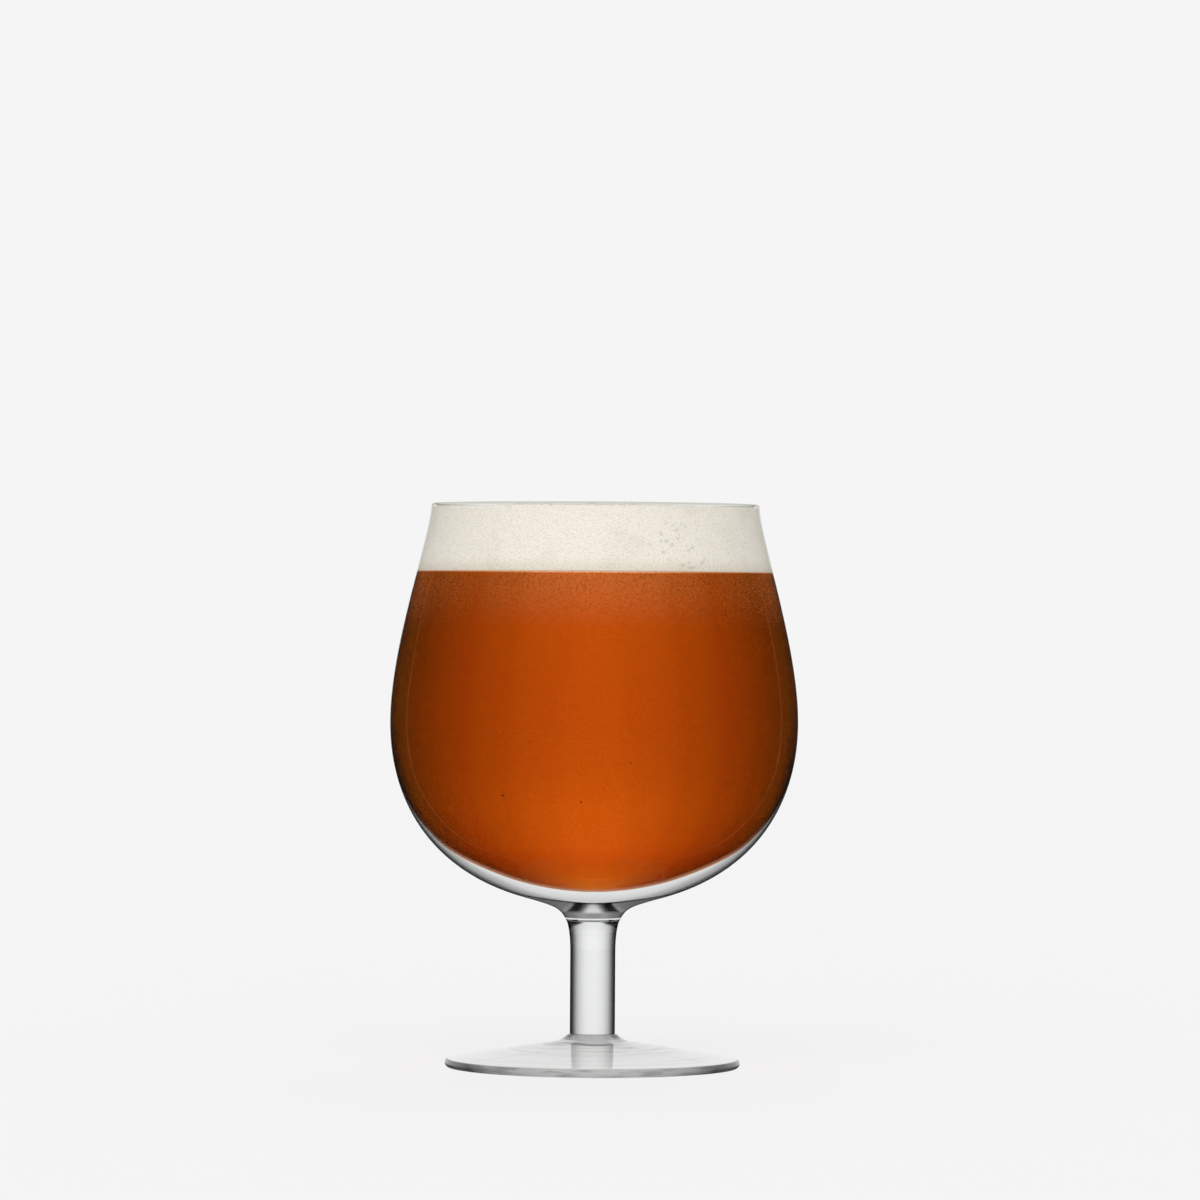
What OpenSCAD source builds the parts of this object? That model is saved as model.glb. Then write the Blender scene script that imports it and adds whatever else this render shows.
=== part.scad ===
// Stemmed tulip glass for beer, shown poured: a blown bowl, a drawn stem and a
// spread foot that are fused in line, with the beer and its head of foam inside.
// Millimetres, +Z up. The table is z = 0 and the axis of the glass is the Z axis.

/* [Bowl] */
// Height of the bowl, from its joint with the stem to the rim
bowl_h = 107.3; // [96:0.1:120]
// Outside diameter at the rim
rim_d = 84.3; // [74:0.1:94]
// Outside diameter at the belly, the widest place
belly_d = 105; // [98:0.5:114]
// Depth of the belly below the rim
belly_drop = 56.2; // [48:0.1:62]
// Lean of the outer wall at the rim, from upright
rim_lean = 5; // [0:0.5:12]
// Wall thickness at the rim
rim_wall = 1.3; // [1:0.1:2.4]
// Wall thickness at the belly
belly_wall = 1; // [0.8:0.1:2]
// Glass on the axis, from the bowl's floor to the joint with the stem
floor_t = 7.6; // [5:0.1:10]
// Diameter at which the underside starts its sweep into the stem
sweep_d = 36; // [30:0.5:44]
// Height of that place above the joint with the stem
sweep_h = 6.1; // [4.5:0.1:8]
// Slope of the underside at that place, from level
sweep_slope = 15.5; // [8:0.5:20]

/* [Stem] */
// Length of the stem in view, from the foot's collar to the joint with the bowl
stem_l = 29.1; // [20:0.1:60]
// Diameter of the stem
stem_d = 11.6; // [9:0.1:12.4]
// Diameter of the stem's head, at the joint with the bowl
head_d = 13.6; // [12.6:0.1:18]
// Length of the head, over which the stem widens
head_l = 8; // [5:0.1:14]
// Lean of the surface at the joint with the bowl, from upright
head_lean = 27; // [10:1:40]
// Rise of the head's dome, which beds in the bowl
head_dome = 0.8; // [0.4:0.1:2]

/* [Foot] */
// Diameter of the foot
foot_d = 76; // [66:0.5:90]
// Height of the foot at the top of its collar
foot_h = 8.6; // [7.6:0.1:12]
// Thickness of the foot's rounded edge
edge_t = 2.5; // [1.8:0.1:3.4]
// Diameter of the collar at its top
collar_d = 12.4; // [12:0.1:15]
// Diameter at which the collar has run out into the foot
collar_base_d = 21.2; // [18:0.1:28]
// Height of the collar above that place
collar_h = 2.1; // [1.4:0.1:3]
// Lean of the collar's side at its top, from upright
collar_lean = 48; // [20:1:60]
// Depth of the socket in the collar, which takes the stem's end
socket_depth = 1.2; // [0.6:0.1:2]
// Width of the flat ring that the foot stands on
ring_w = 1.5; // [0.8:0.1:6]
// Height of the hollow inside that ring, on the axis
hollow_h = 4.4; // [2:0.1:4.6]

/* [Drink] */
// Depth of the beer's surface below the rim
beer_drop = 17.6; // [8:0.1:45]
// Depth of the foam's edge below the rounded lip
foam_drop = 0.3; // [0:0.1:6]
// Rise of the foam's crown above its edge
foam_crown = 0.5; // [0.2:0.1:0.9]

/* [Hidden] */
$fn = 120;
glass_colour = [0.86, 0.90, 0.91, 0.45];
beer_colour = [0.72, 0.27, 0.03];
foam_colour = [0.93, 0.90, 0.82];

// Counts of steps along the long curves, the short curves and the round edges
wall_steps = 26;
blend_steps = 12;
round_steps = 10;

// Reach of each curve's handles, as shares of the height or width that it spans
rim_share = 0.18;
belly_up_share = 0.35;
belly_down_share = 0.45;
sweep_in_share = 0.70;
sweep_out_share = 0.77;
sweep_down_share = 0.54;
head_top_share = 0.06;
head_low_share = 0.66;
floor_down_share = 0.76;
floor_in_share = 0.42;
collar_top_share = 0.36;
collar_base_share = 0.58;
hollow_top_share = 0.35;
hollow_in_share = 0.6;
hollow_rise_share = 0.73;

// Radii
rim_r = rim_d / 2;
belly_r = belly_d / 2;
rim_in_r = rim_r - rim_wall;
belly_in_r = belly_r - belly_wall;
lip_r = rim_wall / 2;
sweep_r = sweep_d / 2;
head_r = head_d / 2;
stem_r = stem_d / 2;
foot_r = foot_d / 2;
edge_r = edge_t / 2;
collar_r = collar_d / 2;
collar_base_r = collar_base_d / 2;
hollow_r = foot_r - edge_r - ring_w;

// Heights, stacked up from the table
stem_base_z = foot_h - socket_depth;
joint_z = foot_h + stem_l;
rim_z = joint_z + bowl_h;
lip_z = rim_z - lip_r;
belly_z = rim_z - belly_drop;
floor_z = joint_z + floor_t;
sweep_z = joint_z + sweep_h;
head_base_z = joint_z - head_l;
collar_base_z = foot_h - collar_h;
beer_z = rim_z - beer_drop;
foam_z = lip_z - foam_drop;

// A cubic curve from p[0] to p[3], in so many steps
function curve(p, steps) = [
    for (i = [0 : steps]) let (t = i / steps, u = 1 - t)
        u * u * u * p[0] + 3 * u * u * t * p[1] + 3 * u * t * t * p[2] + t * t * t * p[3]
];

// A round edge about a centre, from one angle to another
function round_edge(centre, r, from, to) = [
    for (i = [0 : round_steps]) let (a = from + (to - from) * i / round_steps)
        centre + r * [cos(a), sin(a)]
];

// A shallow dome over level z, from radius r in to the axis
function dome(r, rise, z) =
    let (ball = (r * r + rise * rise) / (2 * rise))
    [for (i = [0 : round_steps]) let (x = r * (1 - i / round_steps))
        [x, z + rise - ball + sqrt(ball * ball - x * x)]];

// A list of points in the other order, and one without its first point
function backward(list) = [for (i = [len(list) - 1 : -1 : 0]) list[i]];
function but_first(list) = [for (i = [1 : len(list) - 1]) list[i]];

// Outer wall, from the lip down over the belly to the sweep
lip_to_belly = lip_z - belly_z;
belly_to_sweep = belly_z - sweep_z;
sweep_w = belly_r - sweep_r;
outer_wall = concat(
    curve([
        [rim_r, lip_z],
        [rim_r + rim_share * lip_to_belly * tan(rim_lean), lip_z - rim_share * lip_to_belly],
        [belly_r, belly_z + belly_up_share * lip_to_belly],
        [belly_r, belly_z]
    ], wall_steps),
    but_first(curve([
        [belly_r, belly_z],
        [belly_r, belly_z - belly_down_share * belly_to_sweep],
        [sweep_r + sweep_in_share * sweep_w, sweep_z + sweep_in_share * sweep_w * tan(sweep_slope)],
        [sweep_r, sweep_z]
    ], wall_steps))
);

// Underside, from the sweep in to the joint with the stem
sweep_to_head = sweep_r - head_r;
underside = curve([
    [sweep_r, sweep_z],
    [sweep_r - sweep_out_share * sweep_to_head,
        sweep_z - sweep_out_share * sweep_to_head * tan(sweep_slope)],
    [head_r + sweep_down_share * sweep_h * tan(head_lean), joint_z + sweep_down_share * sweep_h],
    [head_r, joint_z]
], blend_steps);

// Inner wall, from the lip down over the belly to the floor on the axis
belly_to_floor = belly_z - floor_z;
inner_wall = concat(
    curve([
        [rim_in_r, lip_z],
        [rim_in_r + rim_share * lip_to_belly * tan(rim_lean), lip_z - rim_share * lip_to_belly],
        [belly_in_r, belly_z + belly_up_share * lip_to_belly],
        [belly_in_r, belly_z]
    ], wall_steps),
    but_first(curve([
        [belly_in_r, belly_z],
        [belly_in_r, belly_z - floor_down_share * belly_to_floor],
        [floor_in_share * belly_in_r, floor_z],
        [0, floor_z]
    ], wall_steps))
);

// Dome of the stem's head, shared by the stem and the bowl that it beds in
head_face = dome(head_r, head_dome, joint_z);

// Foot: the slope that meets the rounded edge without a corner
edge_centre = [foot_r - edge_r, edge_r];
slope_span = edge_centre - [collar_base_r, collar_base_z];
slope_angle = atan2(slope_span[1], slope_span[0]) + asin(edge_r / norm(slope_span));
collar_w = collar_base_r - collar_r;
collar_side = curve([
    [collar_base_r, collar_base_z],
    [collar_base_r - collar_base_share * collar_w,
        collar_base_z - collar_base_share * collar_w * tan(slope_angle)],
    [collar_r + collar_top_share * collar_h * tan(collar_lean), foot_h - collar_top_share * collar_h],
    [collar_r, foot_h]
], blend_steps);

// Hollow under the foot, which rises side by side with the slope above it
hollow_face = curve([
    [0, hollow_h],
    [hollow_top_share * hollow_r, hollow_h],
    [hollow_r - hollow_in_share * hollow_r, hollow_rise_share * hollow_h],
    [hollow_r, 0]
], blend_steps);

module bowl() {
    lip = round_edge([rim_r - lip_r, lip_z], lip_r, 180, 0);
    color(glass_colour)
        rotate_extrude()
            polygon(concat(
                lip,
                but_first(outer_wall),
                but_first(underside),
                but_first(head_face),
                backward(but_first(inner_wall))
            ));
}

module stem() {
    head_side = curve([
        [stem_r, head_base_z],
        [stem_r, head_base_z + head_low_share * head_l],
        [head_r - head_top_share * head_l * tan(head_lean), joint_z - head_top_share * head_l],
        [head_r, joint_z]
    ], blend_steps);
    color(glass_colour)
        rotate_extrude()
            polygon(concat(
                [[0, stem_base_z], [stem_r, stem_base_z]],
                head_side,
                but_first(head_face)
            ));
}

module foot() {
    color(glass_colour)
        rotate_extrude()
            polygon(concat(
                hollow_face,
                round_edge(edge_centre, edge_r, -90, 90 + slope_angle),
                collar_side,
                [[stem_r, foot_h], [stem_r, stem_base_z], [0, stem_base_z]]
            ));
}

// Half section of the room inside the bowl, up to the level of the rim
module inside_outline() {
    polygon(concat([[0, rim_z], [rim_in_r, rim_z]], inner_wall));
}

module beer() {
    color(beer_colour)
        rotate_extrude()
            intersection() {
                inside_outline();
                translate([0, floor_z])
                    square([belly_r, beer_z - floor_z]);
            }
}

module foam_head() {
    color(foam_colour)
        rotate_extrude()
            intersection() {
                inside_outline();
                polygon(concat(
                    [[0, beer_z], [belly_r, beer_z], [belly_r, foam_z]],
                    dome(rim_in_r, foam_crown, foam_z)
                ));
            }
}

bowl();
stem();
foot();
beer();
foam_head();
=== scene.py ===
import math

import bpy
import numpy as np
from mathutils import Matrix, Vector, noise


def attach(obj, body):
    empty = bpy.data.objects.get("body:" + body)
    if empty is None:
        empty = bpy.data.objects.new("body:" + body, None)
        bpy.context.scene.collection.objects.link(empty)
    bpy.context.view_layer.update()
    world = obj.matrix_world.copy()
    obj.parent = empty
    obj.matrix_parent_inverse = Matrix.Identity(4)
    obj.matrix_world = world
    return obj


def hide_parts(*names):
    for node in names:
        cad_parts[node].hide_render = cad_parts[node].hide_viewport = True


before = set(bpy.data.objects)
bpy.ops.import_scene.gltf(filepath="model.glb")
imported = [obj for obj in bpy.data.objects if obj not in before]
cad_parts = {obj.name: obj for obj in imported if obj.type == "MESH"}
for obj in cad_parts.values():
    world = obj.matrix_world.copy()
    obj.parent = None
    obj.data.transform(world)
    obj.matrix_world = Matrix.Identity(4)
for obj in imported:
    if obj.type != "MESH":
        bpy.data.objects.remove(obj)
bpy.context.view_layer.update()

# %% [markdown]
# A stemmed tulip glass, poured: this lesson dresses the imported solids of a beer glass. The bowl, the stem
# and the foot are clear glass, fused in line while hot. The bowl holds amber beer, and a head of foam
# stands on the beer up to the lip. The frame gives the outline of every piece, so no shape is measured
# twice, and every piece stays where its solid is. Only the looks have numbers of their own, such as the
# height at which a tint begins.

MM = 0.001

# %% [markdown]
# Everything on a blown glass is round about one axis, so each piece is known from half of its section.
# A solid in the frame comes as loose triangles. Their corners lie on level rings, and an edge that joins
# two rings tells which ring follows which, so walking from ring to ring gives the outline in order. That
# is better than typing the sizes again: if the solid changes, the look follows.

# %% Read the outline of a round solid
RING_GAP = 0.02 * MM
STRAIGHT = 0.001 * MM


def rings_of(mesh):
    """The (radius, height) of each ring of corners, and the number of the ring that each corner is on."""
    places = np.empty(len(mesh.vertices) * 3)
    mesh.vertices.foreach_get("co", places)
    places = places.reshape(-1, 3)
    half = np.column_stack([np.hypot(places[:, 0], places[:, 1]), places[:, 2]])
    spots, spot_of_corner = np.unique(np.round(half, 6), axis=0, return_inverse=True)
    rings, ring_of_spot = [], []
    for spot in spots:
        near = [i for i, ring in enumerate(rings) if np.abs(ring - spot).max() < RING_GAP]
        if not near:
            rings.append(spot)
            near = [len(rings) - 1]
        ring_of_spot.append(near[0])
    ring_of_corner = np.array(ring_of_spot)[spot_of_corner.ravel()]
    rings = [half[ring_of_corner == i].mean(axis=0) for i in range(len(rings))]
    return np.array(rings), ring_of_corner


def needed(points):
    """The outline without the points that lie on the straight line between their neighbours."""
    kept = [points[0]]
    for here, after in zip(points[1:-1], points[2:]):
        way = after - kept[-1]
        off = way[0] * (here - kept[-1])[1] - way[1] * (here - kept[-1])[0]
        if abs(off) > STRAIGHT * np.linalg.norm(way):
            kept.append(here)
    return np.array([*kept, points[-1]])


def outline_of(node):
    """The half section of a round solid: (radius, height) points from the axis round to the axis again."""
    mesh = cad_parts[node].data
    rings, ring_of_corner = rings_of(mesh)
    links = {i: set() for i in range(len(rings))}
    for edge in mesh.edges:
        a, b = (int(ring_of_corner[v]) for v in edge.vertices)
        if a != b:
            links[a].add(b)
            links[b].add(a)
    ends = [i for i, near in links.items() if len(near) == 1]
    here = min(ends, key=lambda i: rings[i][1])
    order = [here]
    while links[here] - set(order):
        here = min(links[here] - set(order), key=lambda i: np.linalg.norm(rings[i] - rings[here]))
        order.append(here)
    points = [rings[i] for i in order]
    if points[0][0] > RING_GAP:
        points.insert(0, np.array([0.0, points[0][1]]))
    if points[-1][0] > RING_GAP:
        points.append(np.array([0.0, points[-1][1]]))
    points = needed(points)
    print(node, ":", len(rings), "rings, walked", len(order), "and kept", len(points), "points")
    return points


outlines = {node: outline_of(node) for node in ("bowl", "stem", "foot", "beer", "foam_head")}

# %% [markdown]
# A solid's curve is a chain of short straight steps. Glass shows every one of them, because it bends what
# is seen through it, so the outline gets more points on a smooth curve through the old ones. The curve is
# a cubic spline: its bend never jumps, and a jump would show as a ring of light. A point where the
# outline turns sharply is a real corner, such as the edge of the stem's end, and stays one. A step much
# longer than its neighbours is meant straight, such as the slope of the foot, and stays straight.

# %% Smooth an outline between its points
SHARP_TURN = math.radians(32)
LONG_STEP = 4.0


def unit(v):
    return v / max(np.linalg.norm(v), 1e-12)


def corners_of(points):
    """The numbers of the first point, of each sharp corner and of the last point."""
    ways = [unit(w) for w in np.diff(points, axis=0)]
    turns = [math.acos(np.clip(a @ b, -1, 1)) for a, b in zip(ways, ways[1:])]
    return [0, *[i + 1 for i, turn in enumerate(turns) if turn > SHARP_TURN], len(points) - 1]


def known_ways(points, sizes, corners):
    """The ways that a curve must take: level on the axis, and straight along a step that is long."""
    known = {}
    for end, near in ((0, 1), (len(points) - 1, len(points) - 2)):
        if points[end][0] < RING_GAP:
            known[end] = np.array([math.copysign(1, (near - end) * (points[near] - points[end])[0]), 0])
    for i in range(1, len(sizes) - 1):
        if sizes[i] > LONG_STEP * max(sizes[i - 1], sizes[i + 1]):
            along = (points[i + 1] - points[i]) / sizes[i]
            known.update({end: along for end in (i, i + 1) if end not in corners})
    return known


def spline_ways(points, sizes, start_way, end_way):
    """The way of a cubic spline at each point of a run, with the ways at its ends where they are known."""
    count = len(points)
    steps = np.diff(points, axis=0) / sizes[:, None]
    rule, wanted = np.zeros((count, count)), np.zeros((count, 2))
    for i in range(1, count - 1):
        rule[i, i - 1:i + 2] = sizes[i], 2 * (sizes[i - 1] + sizes[i]), sizes[i - 1]
        wanted[i] = 3 * (sizes[i] * steps[i - 1] + sizes[i - 1] * steps[i])
    for end, near, way, step in ((0, 1, start_way, steps[0]), (-1, -2, end_way, steps[-1])):
        rule[end, end], rule[end, near] = (2, 1) if way is None else (1, 0)
        wanted[end] = 3 * step if way is None else way
    return np.linalg.solve(rule, wanted)


def smoothed(points, parts):
    """The outline with each step cut into so many parts, on cubic splines between its corners."""
    sizes = np.linalg.norm(np.diff(points, axis=0), axis=1)
    corners = corners_of(points)
    known = known_ways(points, sizes, corners)
    breaks = sorted({*corners, *known})
    made = [points[0]]
    for first, last in zip(breaks, breaks[1:]):
        run, run_sizes = points[first:last + 1], sizes[first:last]
        ways = np.array([run[1] - run[0]] * 2) / run_sizes[0]
        if len(run) > 2:
            ways = spline_ways(run, run_sizes, known.get(first), known.get(last))
        for i, size in enumerate(run_sizes):
            for t in np.arange(1, parts + 1) / parts:
                start = (1 + 2 * t) * (1 - t) ** 2 * run[i] + t * (1 - t) ** 2 * size * ways[i]
                end = t * t * (3 - 2 * t) * run[i + 1] + t * t * (t - 1) * size * ways[i + 1]
                made.append(start + end)
    made = np.array(made)
    made[:, 0] = np.maximum(made[:, 0], 0)
    made[:, 1] = np.clip(made[:, 1], points[:, 1].min(), points[:, 1].max())
    return made


# %% [markdown]
# A node tree can be drawn by hand in Blender's editor or built by a script. A script is used here, so that
# every node and value can be read. Five helpers keep it short: they add a node, set an input, set many
# inputs by name, do a sum, and start a Geometry Nodes tree with named inputs.

# %% Tools for node trees


def add(tree, kind, **settings):
    """A new node with these settings."""
    node = tree.nodes.new(kind)
    for name, value in settings.items():
        setattr(node, name, value)
    return node


def put(tree, socket, value):
    """Sets one input: a socket is linked to it, and any other value is written in."""
    if isinstance(value, bpy.types.NodeSocket):
        tree.links.new(value, socket)
    else:
        socket.default_value = value


def feed(tree, node, **inputs):
    """Sets a node's inputs by name."""
    for name, value in inputs.items():
        put(tree, node.inputs[name.replace("_", " ")], value)
    return node


def maths(tree, operation, a, b=0.0):
    """A Math node's result."""
    node = add(tree, "ShaderNodeMath", operation=operation)
    for socket, value in zip(node.inputs, (a, b)):
        put(tree, socket, value)
    return node.outputs[0]


def new_tree(name, sockets):
    """An empty Geometry Nodes tree with these inputs, and the identifiers that set them."""
    tree = bpy.data.node_groups.new(name, "GeometryNodeTree")
    tree.is_modifier = True
    known = {}
    for label, kind in sockets:
        made = tree.interface.new_socket(label, in_out="INPUT", socket_type=kind)
        known[label] = made.identifier
    tree.interface.new_socket("Piece", in_out="OUTPUT", socket_type="NodeSocketGeometry")
    return tree, known


# %% [markdown]
# Spinning an outline about the axis is a rule, so a Geometry Nodes tree does it. A flat grid has one
# column for each step round the glass and one row for each point of the outline. Each grid point looks
# up its row's place on the outline and turns it about the axis by its column's share of a full turn.
# Merging then closes the seam and the poles. The outline also marks the hot joints, the glass that is
# wet and the collar above the stem, and the tree gives those faces their own finishes.

# %% The tree that spins an outline
AROUND = 224
MERGE_WITHIN = 0.0002 * MM
MARKS = ("wet", "collar", "joint")
MARKED = 0.99


def spin_tree():
    tree, known = new_tree("spin_outline", (
        ("Outline", "NodeSocketGeometry"),
        ("Around", "NodeSocketInt"),
        ("Finish", "NodeSocketMaterial"),
        *[(mark.capitalize() + " finish", "NodeSocketMaterial") for mark in MARKS],
    ))
    given = add(tree, "NodeGroupInput").outputs
    size = add(tree, "GeometryNodeAttributeDomainSize", component="MESH")
    feed(tree, size, Geometry=given["Outline"])
    rows = size.outputs["Point Count"]
    grid = add(tree, "GeometryNodeMeshGrid")
    feed(tree, grid, Vertices_X=maths(tree, "ADD", given["Around"], 1.0), Vertices_Y=rows)
    index = add(tree, "GeometryNodeInputIndex").outputs[0]
    row = maths(tree, "MODULO", index, rows)
    column = maths(tree, "FLOOR", maths(tree, "DIVIDE", index, rows))
    turn = maths(tree, "MULTIPLY", maths(tree, "DIVIDE", column, given["Around"]), math.tau)

    def looked_up(kind, source):
        look = add(tree, "GeometryNodeSampleIndex", data_type=kind, domain="POINT")
        return feed(tree, look, Geometry=given["Outline"], Value=source, Index=row).outputs["Value"]

    def marked(mark):
        named = add(tree, "GeometryNodeInputNamedAttribute", data_type="FLOAT")
        return feed(tree, named, Name=mark).outputs["Attribute"]

    place = looked_up("FLOAT_VECTOR", add(tree, "GeometryNodeInputPosition").outputs[0])
    turned = add(tree, "ShaderNodeVectorRotate", rotation_type="Z_AXIS")
    feed(tree, turned, Vector=place, Angle=turn)
    placed = add(tree, "GeometryNodeSetPosition")
    feed(tree, placed, Geometry=grid.outputs["Mesh"], Position=turned.outputs["Vector"])
    made = placed.outputs[0]
    for mark in MARKS:
        kept = add(tree, "GeometryNodeStoreNamedAttribute", data_type="FLOAT", domain="POINT")
        feed(tree, kept, Geometry=made, Name=mark, Value=looked_up("FLOAT", marked(mark)))
        made = kept.outputs[0]
    merged = add(tree, "GeometryNodeMergeByDistance")
    feed(tree, merged, Geometry=made, Distance=MERGE_WITHIN)
    smooth = add(tree, "GeometryNodeSetShadeSmooth")
    feed(tree, smooth, Geometry=merged.outputs[0])
    real = add(tree, "GeometryNodeRealizeInstances")
    feed(tree, real, Geometry=smooth.outputs[0])
    finished = add(tree, "GeometryNodeSetMaterial")
    feed(tree, finished, Geometry=real.outputs[0], Material=given["Finish"])
    for mark in MARKS:
        special = add(tree, "GeometryNodeSetMaterial")
        feed(tree, special, Geometry=finished.outputs[0], Material=given[mark.capitalize() + " finish"],
             Selection=maths(tree, "GREATER_THAN", marked(mark), MARKED))
        finished = special
    tree.links.new(finished.outputs[0], add(tree, "NodeGroupOutput").inputs["Piece"])
    return tree, known


SPIN, SPIN_INPUTS = spin_tree()
print("spin tree has", len(SPIN.nodes), "nodes")

# %% [markdown]
# A tree's result lives in a modifier. The export wants plain meshes, so the evaluated result is copied
# into a new mesh and the carrier is thrown away. Normals are then turned outwards, and corners sharper
# than the limit are marked, so that smooth shading stops at them.

# %% Turn a tree's result into a plain piece
CORNER = math.radians(32)


def plain_piece(name, carrier, tree, values):
    """A mesh piece made by this tree on this carrier object, which is removed."""
    modifier = carrier.modifiers.new(tree.name, "NODES")
    modifier.node_group = tree
    for identifier, value in values.items():
        modifier[identifier] = value
    graph = bpy.context.evaluated_depsgraph_get()
    mesh = bpy.data.meshes.new_from_object(carrier.evaluated_get(graph), depsgraph=graph)
    mesh.name = name
    piece = bpy.data.objects.new(name, mesh)
    bpy.context.scene.collection.objects.link(piece)
    old = carrier.data
    bpy.data.objects.remove(carrier)
    bpy.data.meshes.remove(old)
    return piece


def outward(mesh):
    """Turns a closed mesh's normals outwards, by the sign of the volume that it shuts in."""
    mesh.calc_loop_triangles()
    corners = np.array([v.co for v in mesh.vertices])
    faces = np.empty(len(mesh.loop_triangles) * 3, int)
    mesh.loop_triangles.foreach_get("vertices", faces)
    a, b, c = (corners[faces.reshape(-1, 3)[:, i]] for i in range(3))
    volume = np.einsum("ij,ij->i", a, np.cross(b, c)).sum() / 6
    if volume < 0:
        mesh.flip_normals()
    return abs(volume)


def carrier_of(name, points, marks):
    """An object whose mesh is the outline, in the plane of X and Z, with its marks."""
    mesh = bpy.data.meshes.new(name)
    places = [(r, 0, z) for r, z in points]
    mesh.from_pydata(places, [(i, i + 1) for i in range(len(places) - 1)], [])
    for mark in MARKS:
        values = mesh.attributes.new(mark, "FLOAT", "POINT")
        values.data.foreach_set("value", marks.get(mark, np.zeros(len(places))))
    carrier = bpy.data.objects.new(name, mesh)
    bpy.context.scene.collection.objects.link(carrier)
    return carrier


def spun(name, points, finish, marks=None, special=None):
    """A round piece with this outline. special maps a mark to the finish of the faces that have it."""
    carrier = carrier_of(name + "_outline", points, marks or {})
    values = {SPIN_INPUTS["Around"]: AROUND, SPIN_INPUTS["Finish"]: finish}
    for mark in MARKS:
        values[SPIN_INPUTS[mark.capitalize() + " finish"]] = (special or {}).get(mark, finish)
    piece = plain_piece(name, carrier, SPIN, values)
    held = outward(piece.data)
    piece.data.set_sharp_from_angle(angle=CORNER)
    faces = len(piece.data.polygons)
    print(name, ":", faces, "faces,", round(held / MM ** 3 / 1000, 1), "ml")
    return piece


# %% [markdown]
# Two effects turn up on more than one finish, so each is a shader node group. The first is the touch of
# hands and water on clean glass and on the beer's skin: a mask of faint, broad smears. The second is a
# field of bubbles, as cells of two sizes with a height that rises to the middle of each cell. Four short
# helpers come first, because the groups are built with them.

# %% Shader helpers, and the groups for smears and bubbles
SMEAR_RANGE = (0.45, 0.75)
GAP_RANGE = (0.35, 0.85)
LARGE_RANGE = (0.32, 0.22)


def object_place(tree):
    return add(tree, "ShaderNodeTexCoord").outputs["Object"]


def scaled(tree, place, factors):
    """A place with each of its axes times a factor."""
    node = add(tree, "ShaderNodeVectorMath", operation="MULTIPLY")
    for socket, value in zip(node.inputs, (place, factors)):
        put(tree, socket, value)
    return node.outputs[0]


def cloud(tree, place, **inputs):
    """A noise texture's value."""
    return feed(tree, add(tree, "ShaderNodeTexNoise"), Vector=place, **inputs).outputs[0]


def between(tree, value, low, high, least=0.0, most=1.0, how="SMOOTHSTEP"):
    """A value brought from one range to another, and held inside it."""
    share = add(tree, "ShaderNodeMapRange", interpolation_type=how)
    feed(tree, share, Value=value, From_Min=low, From_Max=high, To_Min=least, To_Max=most)
    return share.outputs[0]


def new_group(name, inputs, outputs):
    """An empty shader group. inputs maps a name to its default number."""
    group = bpy.data.node_groups.new(name, "ShaderNodeTree")
    for label, value in inputs.items():
        socket = group.interface.new_socket(label, in_out="INPUT", socket_type="NodeSocketFloat")
        socket.default_value = value
    for label in outputs:
        group.interface.new_socket(label, in_out="OUTPUT", socket_type="NodeSocketFloat")
    given = add(group, "NodeGroupInput").outputs
    return group, given, add(group, "NodeGroupOutput").inputs, object_place(group)


def smears_group():
    group, given, result, place = new_group("smears", {"Per metre": 40.0, "Stretch": 3.0}, ("Mask",))
    shape = add(group, "ShaderNodeCombineXYZ")
    feed(group, shape, X=given["Stretch"], Y=given["Stretch"], Z=1.0)
    stretched = scaled(group, place, shape.outputs[0])
    spots = cloud(group, stretched, Scale=given["Per metre"], Detail=4.0, Roughness=0.6)
    group.links.new(between(group, spots, *SMEAR_RANGE, how="LINEAR"), result["Mask"])
    return group


def bubbles_group():
    inputs = {"Small per metre": 1400.0, "Large per metre": 420.0, "Flatten": 1.0}
    group, given, result, place = new_group("bubbles", inputs, ("Height", "Gap", "Large"))
    shape = add(group, "ShaderNodeCombineXYZ")
    feed(group, shape, X=1.0, Y=1.0, Z=given["Flatten"])
    squashed = scaled(group, place, shape.outputs[0])
    cells = {}
    for label in ("Small", "Large"):
        cell = add(group, "ShaderNodeTexVoronoi")
        feed(group, cell, Vector=squashed, Scale=given[label + " per metre"], Randomness=1.0)
        cells[label] = cell.outputs["Distance"]
    rises = [maths(group, "SUBTRACT", 1.0, distance) for distance in cells.values()]
    group.links.new(maths(group, "ADD", *rises), result["Height"])
    group.links.new(between(group, cells["Small"], *GAP_RANGE, how="LINEAR"), result["Gap"])
    group.links.new(between(group, cells["Large"], *LARGE_RANGE, how="LINEAR"), result["Large"])
    return group


SMEARS = smears_group()
BUBBLES = bubbles_group()
print("shader groups:", SMEARS.name, BUBBLES.name)

# %% [markdown]
# Clear glass is seen by its edges. A studio puts dark cards beside it, and where the surface turns away
# the glass shows them, so its outline is drawn in grey and black. Here the finish does that itself, by
# how far the surface turns from the viewer where light enters, and so it reads the same from every side.
# Three measures of that turn are needed: facing, which counts every way; tilt, which counts up and down;
# and sideways, which counts left and right only.

# %% How far a surface turns away
VIEW_RISE = 0.045
LEAST_UPRIGHT = 0.02


def grey(level):
    return (level, level, level, 1)


def facing_of(tree):
    """How far the surface turns from the viewer: 0 square on, 1 edge on."""
    weight = add(tree, "ShaderNodeLayerWeight")
    return feed(tree, weight, Blend=0.5).outputs["Facing"]


def z_of(tree, vector):
    parts = add(tree, "ShaderNodeSeparateXYZ")
    tree.links.new(vector, parts.inputs[0])
    return parts.outputs["Z"]


def upward_of(tree):
    """How far the surface looks up: 1 on a level face, 0 on an upright one, -1 on an underside."""
    return z_of(tree, add(tree, "ShaderNodeNewGeometry").outputs["Normal"])


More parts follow.
